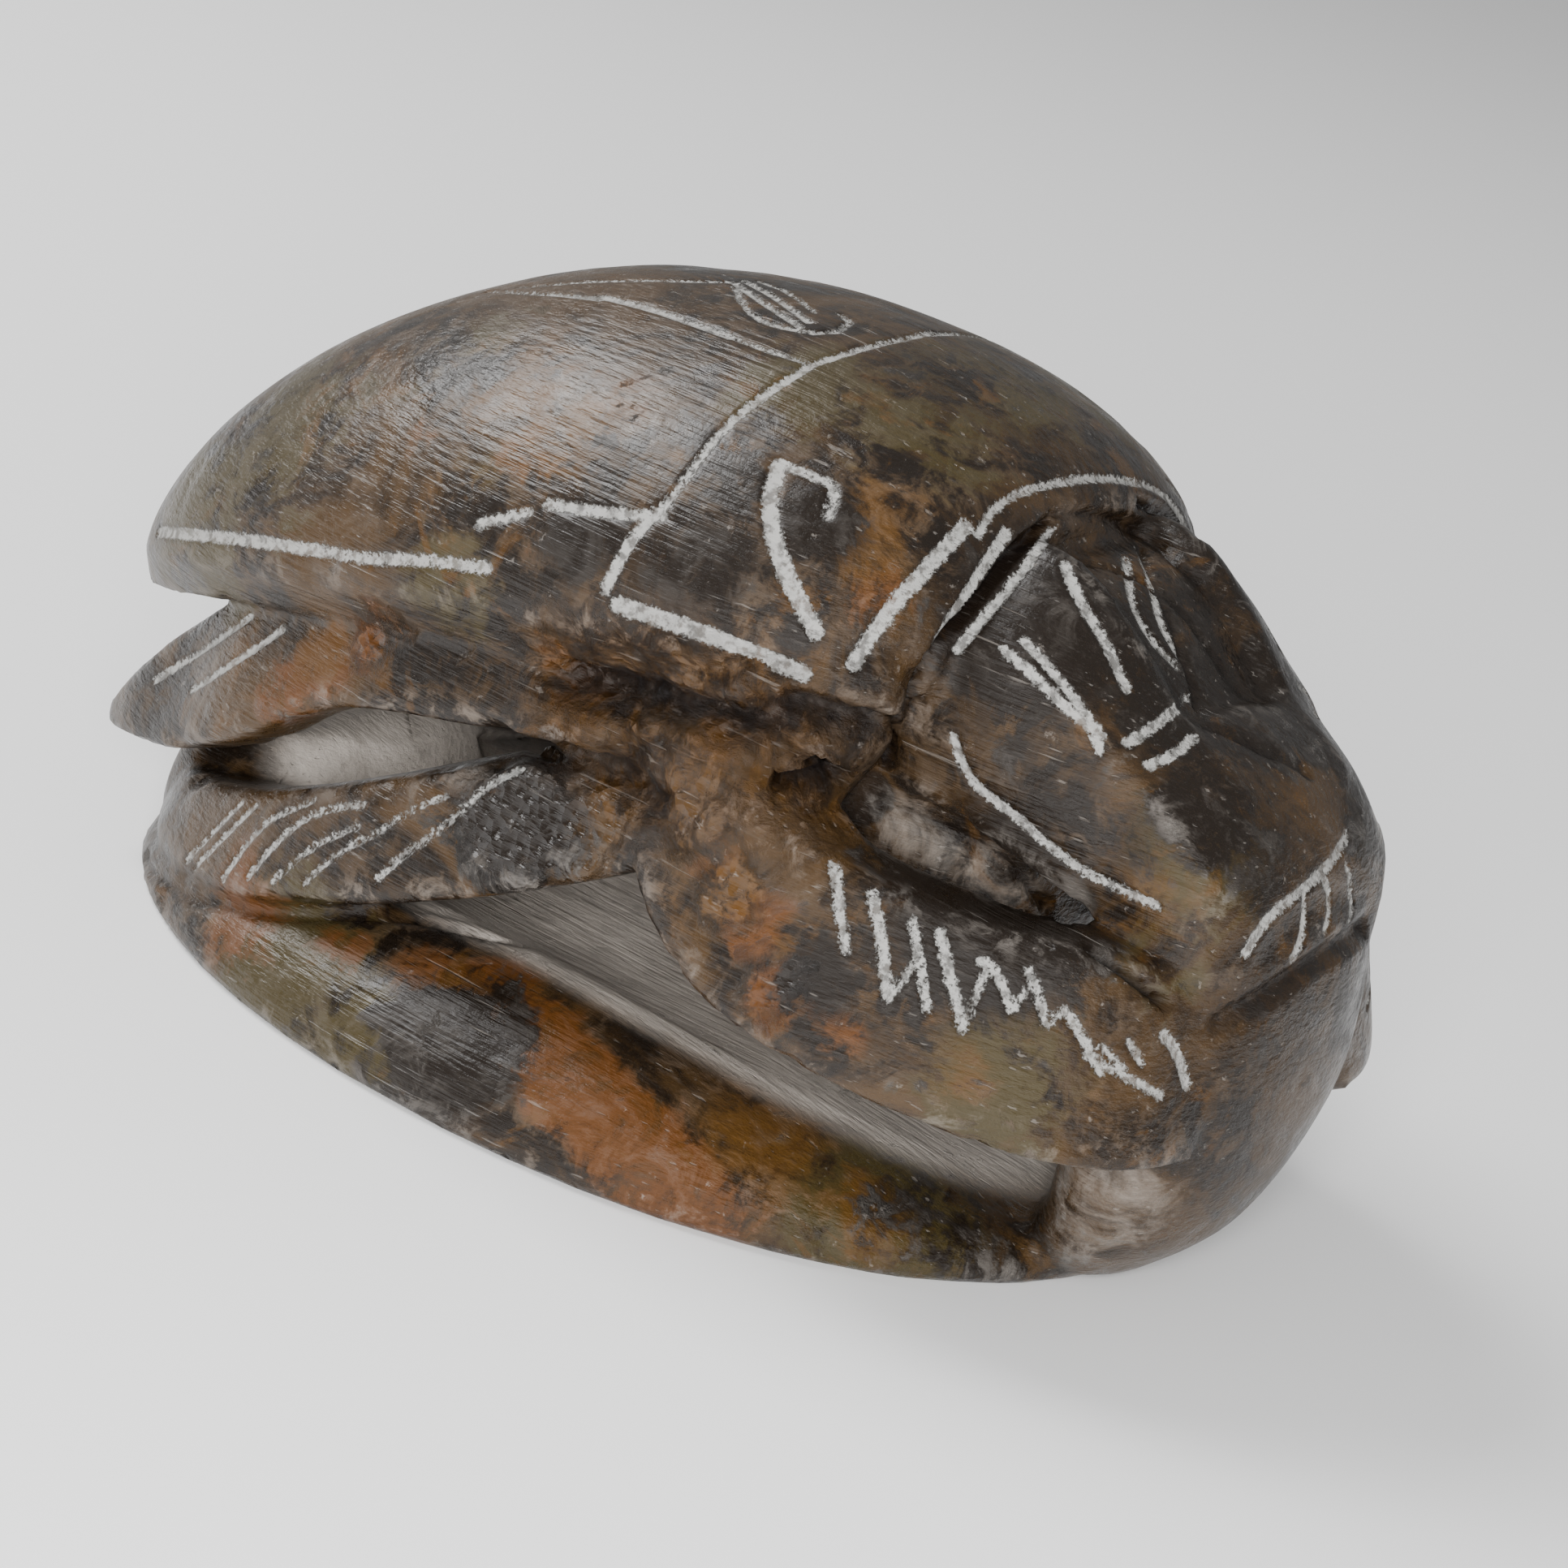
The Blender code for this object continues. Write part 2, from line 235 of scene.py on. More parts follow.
def head():
    """Sections joined from neck to clypeus: flanks, cheek plates and a sunk forehead between them."""
    #                     along  top    shoulder low    width recess
    shape = smooth_path([(-0.33, 0.840, 0.730, 0.530, 1.10, 0.6), (0.09, 0.850, 0.750, 0.524, 1.10, 1.0),
                         (0.31, 0.810, 0.730, 0.504, 1.07, 1.0), (0.525, 0.736, 0.684, 0.480, 1.00, 1.0),
                         (0.60, 0.710, 0.664, 0.468, 0.95, 0.1), (0.78, 0.672, 0.616, 0.444, 0.92, 0.0),
                         (0.92, 0.616, 0.566, 0.424, 0.84, 0.0), (1.00, 0.560, 0.520, 0.416, 0.66, 0.0)], 90)
    along, top, shoulder, low, width, sunk = shape.T
    x = SHELL_FRONT + along * HEAD_LENGTH
    top, shoulder, low = BODY_HEIGHT * top, BODY_HEIGHT * shoulder, BODY_HEIGHT * low
    half, plate = HEAD_WIDTH / 2 * width, HEAD_PLATE_GAP / 2 * width
    floor = top - HEAD_RECESS * np.maximum(sunk, 0)
    right = [(0.62 * half, low), (0.97 * half, 0.9 * low + 0.1 * shoulder), (half, 0.5 * (low + shoulder)),
             (0.95 * half, shoulder), (0.72 * half, 0.35 * shoulder + 0.65 * top), (1.12 * plate, top),
             (plate, top), (0.86 * plate, floor)]
    left = [(-y, z) for y, z in reversed(right)]
    ring = right + [(0 * x, floor + 0.3 * HEAD_RECESS)] + left + [(0 * x, low)]
    return skin(np.stack([np.stack([x, y, z], axis=-1) for y, z in ring], axis=1))


def front_wall():
    """Upright prow: ovals whose reach, width and depth swell to mid height."""
    #                     height reach  width depth
    shape = smooth_path([(0.02, 0.865, 0.66, 0.70), (0.09, 0.935, 0.80, 0.81), (0.18, 0.975, 0.93, 0.93),
                         (0.28, 0.998, 1.00, 1.00), (0.38, 1.000, 0.96, 0.98), (0.48, 0.985, 0.90, 0.96),
                         (0.55, 0.950, 0.78, 0.88)], 60)
    height, reach, width, depth = shape.T[:, :, None]
    x, y, _ = oval(2.2, 120)
    half = WALL_DEPTH / 2 * depth
    rings = np.stack([x * half + reach * WALL_REACH - half, y * WALL_WIDTH / 2 * width,
                      height * BODY_HEIGHT + 0 * x], axis=-1)
    return skin(rings)


def tail_wall():
    """Low lump: ovals that narrow to a flat top, joining the feet of the middle legs."""
    shape = smooth_path([(0.10, 0.97, 0.96), (0.38, 1.00, 1.00), (0.76, 0.86, 0.96), (1.00, 0.58, 0.81)], 40)
    height, length, width = shape.T[:, :, None]
    x, y, _ = oval(2.6, 120)
    rings = np.stack([x * TAIL_WALL_LENGTH / 2 * length + TAIL_WALL_PLACE, y * TAIL_WALL_WIDTH / 2 * width,
                      height * TAIL_WALL_HEIGHT + 0 * x], axis=-1)
    return skin(rings)


def belly():
    """Body under the shell: upright ovals that swell towards the chest."""
    shape = smooth_path([(-0.48, 0.44, 0.08, 0.06), (-0.30, 0.45, 0.20, 0.10), (0.00, 0.47, 0.26, 0.156),
                         (0.24, 0.48, 0.30, 0.204), (0.47, 0.50, 0.24, 0.216), (0.58, 0.54, 0.192, 0.16)], 60)
    along, height, half_y, half_z = (shape * BODY_HEIGHT).T[:, :, None]
    y, up, _ = oval(2.3, 100)
    return skin(np.stack([along + 0 * y, y * half_y, height + up * half_z], axis=-1))


def blade(pose, size, side):
    """Leg: a squared oval swept along its pose, leaning outward by LEG_SPLAY of its lower half. Each
    row of a pose is place ahead, inward and up as shares of BODY_HEIGHT, then depth and thickness as
    shares of the leg's size."""
    depth, thickness = size
    run = smooth_path(pose, 90)
    middle = run[:, :3] * BODY_HEIGHT - (0.0, LEG_SPREAD, 0.0)
    ahead = np.gradient(middle, axis=0)
    ahead /= np.linalg.norm(ahead, axis=1)[:, None]
    across = np.cross(ahead, (0.0, 0.0, 1.0))
    across *= -np.sign(across[:, 1:2]) / np.linalg.norm(across, axis=1)[:, None]
    up = np.array([0.0, 0.0, 1.0]) - ahead * ahead[:, 2:3]
    up /= np.linalg.norm(up, axis=1)[:, None]
    a = np.linspace(0, 2 * np.pi, 60, endpoint=False)
    c, s = signed_power(np.cos(a), LEG_SECTION_POWER), signed_power(np.sin(a), LEG_SECTION_POWER)
    half_depth, half_thick = depth / 2 * run[:, 3:4], thickness / 2 * run[:, 4:5]
    outward = c * half_thick - 2 * LEG_SPLAY * half_depth * s
    rings = middle[:, None] + outward[..., None] * across[:, None] + (s * half_depth)[..., None] * up[:, None]
    return skin(rings * (1.0, side, 1.0))


def front_leg(side):
    """From the chest over the knee and down to the front wall."""
    return blade([(0.250, 0.020, 0.524, 0.62, 1.00), (0.330, -0.008, 0.440, 0.84, 1.10),
                  (0.450, -0.020, 0.392, 0.93, 1.00), (0.640, 0.036, 0.370, 0.97, 0.95),
                  (0.770, 0.120, 0.366, 1.00, 0.90), (0.820, 0.248, 0.344, 0.84, 0.80)], FRONT_LEG, side)


def middle_leg(side):
    """From the chest back and down to the tail wall."""
    return blade([(0.22, 0.028, 0.480, 0.95, 1.10), (0.06, 0.004, 0.380, 0.98, 1.00),
                  (-0.16, -0.008, 0.260, 0.95, 1.00), (-0.36, 0.028, 0.164, 0.84, 1.00),
                  (-0.53, 0.116, 0.112, 0.66, 1.00), (-0.64, 0.250, 0.100, 0.55, 1.00)], MIDDLE_LEG, side)


def hind_leg(side):
    """From under the shell back to a pointed foot."""
    return blade([(0.14, 0.020, 0.560, 0.63, 1.00), (-0.18, 0.016, 0.480, 0.59, 1.00),
                  (-0.33, 0.030, 0.424, 0.67, 1.00), (-0.46, 0.060, 0.360, 1.00, 1.00),
                  (-0.59, 0.110, 0.272, 0.84, 0.90), (-0.69, 0.130, 0.208, 0.48, 0.70),
                  (-0.764, 0.150, 0.160, 0.15, 0.30)], HIND_LEG, side)


def hub(side):
    """Knotted mass at the root of the legs: ovals that widen upward, tilted with the shell."""
    shape = smooth_path([(0.39, 0.060, 0.060), (0.45, 0.100, 0.084), (0.51, 0.152, 0.104),
                         (0.57, 0.188, 0.112), (0.62, 0.204, 0.104), (0.67, 0.192, 0.088)], 40)
    z, half_x, half_y = (shape * BODY_HEIGHT).T[:, :, None]
    tilt = SHELL_PITCH * (z - z[0]) / (z[-1] - z[0])
    x, y, _ = oval(2.2, 80)
    place = y * half_y - LEG_SPREAD + 0.06 * BODY_HEIGHT
    rings = np.stack([x * half_x + 0.236 * BODY_HEIGHT, side * place, z + tilt * x * half_x], axis=-1)
    return skin(rings)


def run_together(skins):
    """One closed surface over all the skins: their volumes are filled and skinned anew at VOXEL."""
    start, verts, faces = 0, [], []
    for points, quads in skins:
        verts.append(points)
        faces += [[start + v for v in quad] for quad in quads]
        start += len(points)
    mesh = bpy.data.meshes.new("rough_block")
    mesh.from_pydata(np.vstack(verts).tolist(), [], faces)
    fill = bmesh.new()
    fill.from_mesh(mesh)
    bmesh.ops.recalc_face_normals(fill, faces=fill.faces)
    fill.to_mesh(mesh)
    fill.free()
    block = bpy.data.objects.new("rough_block", mesh)
    bpy.context.scene.collection.objects.link(block)
    remesh = block.modifiers.new("one_skin", 'REMESH')
    remesh.mode = 'VOXEL'
    remesh.voxel_size = VOXEL
    depsgraph = bpy.context.evaluated_depsgraph_get()
    joined = bpy.data.meshes.new_from_object(block.evaluated_get(depsgraph))
    bpy.data.objects.remove(block)
    return joined


def points_of(mesh):
    """Places of the vertices, one row each."""
    co = np.empty(len(mesh.vertices) * 3)
    mesh.vertices.foreach_get("co", co)
    return co.reshape(-1, 3)


def put_points(mesh, co):
    """Moves the vertices to these places."""
    mesh.vertices.foreach_set("co", co.ravel())
    mesh.update()


def normals_of(mesh):
    """Outward directions at the vertices, one row each."""
    out = np.empty(len(mesh.vertices) * 3, np.float32)
    mesh.vertex_normals.foreach_get("vector", out)
    return out.reshape(-1, 3).astype(float)


def edges_of(mesh):
    """The two vertices of each edge, one row each."""
    edges = np.empty(len(mesh.edges) * 2, np.int32)
    mesh.edges.foreach_get("vertices", edges)
    return edges.reshape(-1, 2)


def neighbour_mean(edges, value):
    """Mean of what the vertices joined to each vertex hold."""
    count = np.bincount(edges.ravel(), minlength=len(value))
    columns = value.reshape(len(value), -1)
    out = np.empty_like(columns)
    for c in range(columns.shape[1]):
        both = np.bincount(edges[:, 0], columns[edges[:, 1], c], len(value))
        out[:, c] = (both + np.bincount(edges[:, 1], columns[edges[:, 0], c], len(value))) / count
    return out.reshape(value.shape)


# Large odd numbers that scramble the places of the lattice
LATTICE_MIX = (73856093, 19349663, 83492791)
SEED_MIX = 9176213
LAST_MIX = 1274126177


def noise(points, size, seed):
    """Value noise from -1 to 1: hashed values at the corners of a lattice of that size, blended
    along each axis by the smooth step 3t^2 - 2t^3."""
    q = points / size + 11.3 * seed
    base = np.floor(q).astype(np.int64)
    f = q - base
    f = f * f * (3 - 2 * f)
    out = np.zeros(len(points))
    for corner in itertools.product((0, 1), repeat=3):
        i = base + corner
        h = np.bitwise_xor.reduce(i * LATTICE_MIX, axis=1) ^ (seed * SEED_MIX)
        h = ((h ^ (h >> 13)) * LAST_MIX) & 0xffffffff
        h = ((h ^ (h >> 16)) & 0xffff) / 32767.5 - 1
        out += h * np.prod(np.where(corner, f, 1 - f), axis=1)
    return out


def step(low, high, value):
    """Smooth step 3t^2 - 2t^3, where t goes from 0 at low to 1 at high. Low may be the greater."""
    t = np.clip((value - low) / (high - low), 0, 1)
    return t * t * (3 - 2 * t)


# Axes of the photograph's camera: right, up and back. LEVEL lies across the picture before the roll,
# and AWAY points level from the scarab to the camera.
LEVEL = np.array([np.cos(VIEW_TURN), np.sin(VIEW_TURN), 0.0])
AWAY = np.array([np.sin(VIEW_TURN), -np.cos(VIEW_TURN), 0.0])
BACK = np.cos(VIEW_TILT) * AWAY + np.array([0.0, 0.0, np.sin(VIEW_TILT)])
UPRIGHT = np.cross(BACK, LEVEL)
RIGHT = np.cos(VIEW_ROLL) * LEVEL + np.sin(VIEW_ROLL) * UPRIGHT
UP = np.cos(VIEW_ROLL) * UPRIGHT - np.sin(VIEW_ROLL) * LEVEL
EYE = VIEW_TARGET + VIEW_DISTANCE * BACK

# Engraved strokes, drawn over the photograph in pixels: half width in mm, then the corners of each
SIDE_STROKES = [
    (0.42, [(195, 655), (300, 665), (400, 680), (450, 688), (520, 690), (600, 700)]),
    (0.38, [(590, 645), (650, 630)]),
    (0.42, [(675, 620), (740, 630), (815, 635)]),
    (0.34, [(1000, 450), (900, 520), (820, 620)]),
    (0.42, [(820, 620), (780, 662), (745, 725)]),
    (0.55, [(760, 745), (870, 782), (990, 830)]),
    (0.55, [(960, 572), (948, 622), (962, 690), (1005, 780)]),
    (0.36, [(960, 570), (1008, 588), (1029, 602), (1020, 635)]),
    (0.5, [(1052, 818), (1100, 748), (1150, 692), (1190, 648)]),
    (0.42, [(1156, 790), (1198, 722), (1240, 657)]),
    (0.36, [(1180, 800), (1232, 738), (1278, 678), (1300, 645)]),
    (0.38, [(1312, 697), (1332, 742), (1362, 790), (1388, 848)]),
    (0.32, [(1388, 688), (1396, 742), (1418, 786), (1450, 820)]),
    (0.36, [(1404, 676), (1420, 720), (1432, 770), (1456, 810)]),
    (0.34, [(1235, 800), (1262, 822), (1302, 862), (1346, 900), (1354, 925)]),
    (0.34, [(1262, 790), (1292, 822), (1332, 872), (1356, 906)]),
    (0.34, [(1388, 916), (1430, 890), (1465, 858)]),
    (0.34, [(1414, 944), (1446, 930), (1472, 908)]),
    (0.34, [(1175, 908), (1190, 950), (1212, 976), (1252, 1006), (1292, 1042), (1342, 1078), (1425, 1116)]),
    (0.38, [(1535, 1174), (1562, 1132), (1602, 1100), (1642, 1060), (1661, 1030)]),
    (0.3, [(1607, 1104), (1604, 1150), (1592, 1182)]),
    (0.3, [(1630, 1082), (1640, 1112), (1632, 1148)]),
    (0.3, [(1660, 1068), (1666, 1100), (1664, 1138)]),
    (0.38, [(1028, 1064), (1034, 1120), (1042, 1170)]),
    (0.4, [(1074, 1100), (1086, 1160), (1092, 1225)]),
    (0.28, [(1094, 1232), (1124, 1190)]),
    (0.34, [(1124, 1136), (1134, 1190), (1142, 1244)]),
    (0.38, [(1158, 1150), (1172, 1210), (1186, 1266)]),
    (0.28, [(1188, 1262), (1215, 1196)]),
    (0.34, [(1208, 1184), (1228, 1198), (1246, 1244)]),
    (0.3, [(1248, 1240), (1264, 1222)]),
    (0.34, [(1268, 1198), (1280, 1228), (1290, 1262)]),
    (0.28, [(1292, 1258), (1312, 1244)]),
    (0.34, [(1314, 1248), (1338, 1284), (1356, 1320)]),
    (0.26, [(1358, 1290), (1376, 1308), (1390, 1330)]),
    (0.26, [(1392, 1284), (1406, 1310)]),
    (0.28, [(1338, 1300), (1382, 1324), (1430, 1350)]),
    (0.42, [(1434, 1276), (1450, 1296), (1461, 1336)]),
    (0.26, [(298, 990), (262, 1026), (229, 1061)]),
    (0.26, [(316, 992), (276, 1032), (238, 1070)]),
    (0.26, [(385, 986), (336, 1009), (304, 1041), (274, 1084)]),
    (0.28, [(446, 991), (388, 1002), (344, 1035), (306, 1080)]),
    (0.26, [(440, 1018), (388, 1041), (334, 1086)]),
    (0.26, [(468, 1024), (422, 1047), (375, 1086)]),
    (0.24, [(549, 981), (510, 997), (456, 1030)]),
    (0.3, [(642, 948), (600, 969), (544, 1019), (504, 1047), (465, 1082)]),
    (0.32, [(310, 760), (252, 800), (192, 838)]),
    (0.32, [(348, 776), (300, 810), (236, 850)])]
TOP_STROKES = [
    (0.26, [(548, 361), (600, 357), (670, 362), (740, 370)]),
    (0.34, [(740, 366), (800, 380), (850, 396), (900, 414)]),
    (0.22, [(900, 414), (945, 432), (990, 446)]),
    (0.24, [(640, 352), (760, 347), (900, 347)]),
    (0.3, [(905, 348), (940, 372), (985, 402)]),
    (0.3, [(918, 346), (955, 366), (996, 396)]),
    (0.26, [(905, 352), (920, 380), (945, 398), (990, 408)]),
    (0.22, [(935, 346), (975, 362), (1004, 384)]),
    (0.26, [(1000, 410), (1030, 408), (1048, 396), (1036, 386)]),
    (0.3, [(1205, 660), (1224, 628), (1260, 606), (1300, 596), (1350, 589), (1410, 597), (1440, 617)])]
# The line between wing cases and pronotum, the same on both sides up to the middle
JOINT_STROKES = [
    (0.3, [(1150, 408), (1080, 424), (1000, 450)])]
# Side strokes are repeated on the far side where they lie this far from the middle
FAR_START = 9 * MM

# Cuts: half width and depth in mm, how many times wider each is below its line than above it (the
# upper side then stands as a ledge), whether the far side has it too, then its corners in pixels
CUTS = [
    (0.5, 1.3, 1.0, True, [(1298, 640), (1262, 668), (1228, 706), (1194, 752), (1150, 808), (1118, 868),
                           (1090, 940)]),
    (0.5, 0.6, 1.0, False, [(1300, 632), (1350, 636), (1400, 651), (1432, 674), (1454, 700), (1472, 712)]),
    (0.55, 0.35, 1.0, False, [(1487, 893), (1519, 904), (1555, 924), (1594, 938), (1612, 952)]),
    (0.9, 0.7, 1.0, False, [(1500, 1262), (1540, 1240), (1604, 1196), (1662, 1158), (1684, 1142)]),
    (0.5, 1.5, 5.0, True, [(700, 822), (769, 840), (800, 838), (830, 856), (873, 864), (900, 880),
                           (948, 880), (966, 856), (1000, 862), (1030, 878), (1081, 884)]),
    (0.4, 0.9, 5.0, True, [(600, 905), (660, 912), (720, 930), (770, 948), (800, 975)]),
    (0.6, 2.2, 1.0, True, [(962, 966), (985, 962), (1010, 964), (1040, 968)]),
    (0.5, 2.2, 1.0, True, [(1000, 944), (1020, 952), (1044, 962)]),
    (0.45, 0.8, 1.0, True, [(1085, 990), (1130, 1008), (1180, 1030), (1215, 1050), (1262, 1088),
                            (1311, 1134)]),
    (0.45, 1.3, 1.0, True, [(1345, 1168), (1390, 1198), (1438, 1236)]),
    (0.5, 0.35, 1.0, True, [(180, 1068), (250, 1112), (360, 1128), (510, 1132), (700, 1182), (920, 1262)]),
    (0.35, 0.3, 1.0, True, [(1404, 672), (1421, 706), (1441, 760), (1460, 812), (1482, 884)])]

# Patches of colour by kind of stone, placed over the photograph: middle in pixels, radius in mm,
# strength. Honey is warm and clear, bare has no polish, broken is fresh and glints, and dark is dark stone
# but painted shade in the deep opening by the hub.
PATCHES = {
    "rust": [(560, 500, 6, 0.45), (690, 470, 6, 0.4), (765, 505, 5, 0.4), (655, 560, 4, 0.6),
             (640, 650, 4, 0.5), (700, 820, 4, 0.6), (790, 880, 4, 0.4), (880, 900, 3, 0.5),
             (960, 860, 3, 0.5), (1080, 740, 3, 0.7), (1110, 630, 4, 0.4), (395, 815, 3, 1.0),
             (350, 850, 3, 0.8), (470, 790, 4, 0.6), (880, 1060, 2.5, 0.6), (930, 1150, 3, 0.9),
             (965, 1225, 3, 1.0), (1030, 1270, 2.5, 0.8), (1190, 1310, 3, 0.3), (1330, 1370, 4, 0.25),
             (300, 1130, 5, 0.8), (420, 1170, 4, 0.7), (520, 1195, 4, 0.9), (600, 1225, 4, 1.1),
             (650, 1275, 4, 1.2), (710, 1340, 4, 1.2), (765, 1400, 4, 1.2), (810, 1450, 4, 1.2),
             (850, 1495, 4, 1.1), (930, 1490, 3, 0.5), (340, 1110, 3, 0.6)],
    "olive": [(350, 1200, 8, 1.0), (440, 1265, 6, 1.0), (240, 620, 9, 0.9), (340, 530, 9, 0.8),
              (560, 440, 6, 0.6), (1000, 480, 7, 0.7), (1130, 540, 7, 0.7), (1250, 470, 9, 0.6),
              (1090, 1500, 8, 0.9), (560, 730, 6, 0.8), (600, 600, 5, 0.5), (1230, 1330, 6, 0.7),
              (1480, 1050, 7, 0.6), (1450, 1150, 6, 0.5)],
    "dark": [(1490, 990, 5, 0.8), (1560, 1060, 5, 0.6), (1390, 1040, 4, 0.5), (1290, 960, 5, 0.6),
             (1200, 880, 3, 0.5), (1520, 900, 5, 0.7), (1420, 760, 5, 0.7), (1600, 1150, 4, 0.5),
             (560, 1290, 6, 1.0), (500, 1240, 4, 0.8), (470, 1330, 5, 0.6), (720, 660, 4, 1.0),
             (860, 700, 6, 0.8), (1000, 640, 4, 0.9), (1290, 760, 8, 1.0), (1450, 880, 6, 0.8),
             (1500, 840, 6, 0.8), (1220, 1120, 8, 1.1), (1200, 1530, 9, 0.5), (1580, 1250, 7, 0.6),
             # the two small strong patches at the hub are painted shade in the deep opening there
             (640, 1000, 6, 0.8), (1010, 960, 2, 1.8), (1060, 980, 2, 1.5), (1160, 460, 6, 0.5),
             (860, 430, 5, 0.4), (740, 560, 4, 0.5), (1010, 1210, 4, 0.8), (1120, 1230, 6, 0.5)],
    "honey": [(640, 470, 6, 0.7), (700, 540, 5, 0.7), (950, 1400, 5, 0.8), (1050, 1480, 4, 0.6),
              (860, 560, 4, 0.5), (395, 800, 3, 0.8), (300, 800, 3, 0.5), (1100, 625, 4, 0.8),
              (1060, 690, 3, 0.6), (980, 800, 3, 0.5), (1180, 1310, 3, 0.5), (1340, 1390, 3, 0.4),
              (1290, 1060, 3, 0.6), (1400, 1100, 3, 0.6), (900, 1100, 3, 0.7), (880, 900, 3, 0.7),
              (960, 880, 3, 0.6), (820, 1120, 3, 0.5), (560, 620, 4, 0.5), (900, 600, 3, 0.5),
              (1080, 1510, 4, 0.6), (700, 880, 3, 0.5)],
    "bare": [(1120, 1022, 2.5, 0.7), (1165, 1048, 2.5, 0.75), (1205, 1070, 2.5, 0.75),
             (1255, 1104, 2.5, 0.7), (1375, 1445, 3, 0.6), (1345, 1490, 4, 0.45), (1390, 1500, 3, 0.5),
             (1330, 1530, 3, 0.4), (250, 820, 3, 0.5), (1140, 890, 2.5, 0.4)],
    "broken": [(640, 1010, 4, 1.0), (700, 1035, 3, 1.0), (600, 985, 3, 0.8), (740, 1000, 3, 0.8),
               (820, 850, 3, 0.7), (900, 872, 3, 0.8), (850, 1010, 3, 0.7), (900, 1100, 3, 0.7),
               (950, 1210, 3, 0.7), (700, 800, 3, 0.6), (480, 790, 3, 0.7), (560, 800, 3, 0.5)]}


def on_stone(pixels, tree):
    """Points where the sight lines of these picture points meet the stone."""
    out = []
    for px, py in pixels:
        aim = ((px - VIEW_TARGET_PX[0]) * RIGHT - (py - VIEW_TARGET_PX[1]) * UP) / VIEW_FOCAL_PX - BACK
        place = tree.ray_cast(Vector(EYE), Vector(aim).normalized())[0]
        if place is not None:
            out.append(place[:])
    return np.array(out)


def dense(pixels):
    """Picture points along a stroke, at most about 20 pixels apart."""
    pixels = np.asarray(pixels, float)
    lengths = np.linalg.norm(np.diff(pixels, axis=0), axis=1)
    return smooth_path(pixels, max(3, int(lengths.sum() / 20) + 1))


def gap_to(co, path, reach=1.0):
    """Least distance in mm from each point to a path of straight pieces, 2 at most. Below the path
    the distance is divided by reach."""
    out = np.full(len(co), 2.0)
    border = 2 * reach * MM
    near = np.all((co > path.min(axis=0) - border) & (co < path.max(axis=0) + border), axis=1)
    p = co[near]
    for a, b in zip(path[:-1], path[1:]):
        ab = b - a
        t = np.clip((p - a) @ ab / max(ab @ ab, 1e-12), 0, 1)
        away = p - a - t[:, None] * ab
        gap = np.linalg.norm(away, axis=1) / MM
        out[near] = np.minimum(out[near], np.where(away @ UP < 0, gap / reach, gap))
    return out


def stroke_field(co, tree):
    """How far inside the nearest stroke each point lies, in mm: half width less distance to its line."""
    best = np.full(len(co), -2.0)
    for strokes, sides, start in ((SIDE_STROKES, (1.0, -1.0), FAR_START), (TOP_STROKES, (1.0,), FAR_START),
                                  (JOINT_STROKES, (1.0, -1.0), 0.0)):
        for half, pixels in strokes:
            line = on_stone(dense(pixels), tree)
            for side in sides:
                shown = half - gap_to(co, line * (1.0, side, 1.0))
                best = np.maximum(best, np.where((side > 0) | (co[:, 1] > start), shown, -2.0))
    return best


def cut_depth(co, tree):
    """Depth of the cuts in mm: each falls off from its line by the smooth step of distance."""
    depth = np.zeros(len(co))
    for half, deep, reach, mirrored, pixels in CUTS:
        line = on_stone(dense(pixels), tree)
        for side in (1.0, -1.0) if mirrored else (1.0,):
            gap = gap_to(co, line * (1.0, side, 1.0), reach)
            depth = np.maximum(depth, deep * step(1.25 * half, 0.1 * half, gap))
    return depth


def blob(co, centre, size):
    """Soft patch: one at its centre, falling to nothing at its half sizes, in mm."""
    r = np.linalg.norm((co / MM - centre) / size, axis=1)
    return 1 - step(0.45, 1.0, r)


def patches(co, tree, places):
    """Greatest of the soft balls of colour round the points that the picture places name, and of their
    mirror images: each is its strength times 1 less the smooth step of distance."""
    out = np.zeros(len(co))
    for px, py, radius, strength in places:
        middle = on_stone([(px, py)], tree)[0]
        for side in (1.0, -1.0):
            gap = np.linalg.norm(co - middle * (1.0, side, 1.0), axis=1) / MM
            out = np.maximum(out, strength * (1 - step(0.2 * radius, 1.5 * radius, gap)))
    return out


def refine(mesh, near):
    """Halves the edges whose two vertices are both marked as near a stroke or cut."""
    cut = bmesh.new()
    cut.from_mesh(mesh)
    cut.verts.ensure_lookup_table()
    chosen = [e for e in cut.edges if near[e.verts[0].index] and near[e.verts[1].index]]
    bmesh.ops.subdivide_edges(cut, edges=chosen, cuts=1, use_grid_fill=True)
    cut.to_mesh(mesh)
    cut.free()


def store(mesh, name, values):
    """Keeps one value for each vertex under this name, for the stone to read."""
    layer = mesh.attributes.new(name, 'FLOAT', 'POINT')
    layer.data.foreach_set("value", np.asarray(values, np.float32))


def thin_out(obj, plain):
    """Brings the mesh under MOST_TRIANGLES, taking faces first where plain is one."""
    count = sum(len(p.vertices) - 2 for p in obj.data.polygons)
    group = obj.vertex_groups.new(name="plain")
    for weight in (0.0, 0.5, 1.0):
        group.add(np.nonzero(np.abs(plain - weight) < 0.25)[0].tolist(), weight, 'REPLACE')
    thin = obj.modifiers.new("thin_out", 'DECIMATE')
    thin.ratio = min(1.0, MOST_TRIANGLES / count)
    thin.vertex_group = group.name
    thin.vertex_group_factor = 10.0
    depsgraph = bpy.context.evaluated_depsgraph_get()
    mesh = bpy.data.meshes.new_from_object(obj.evaluated_get(depsgraph))
    obj.modifiers.clear()
    obj.vertex_groups.clear()
    mesh.name = obj.data.name
    obj.data = mesh


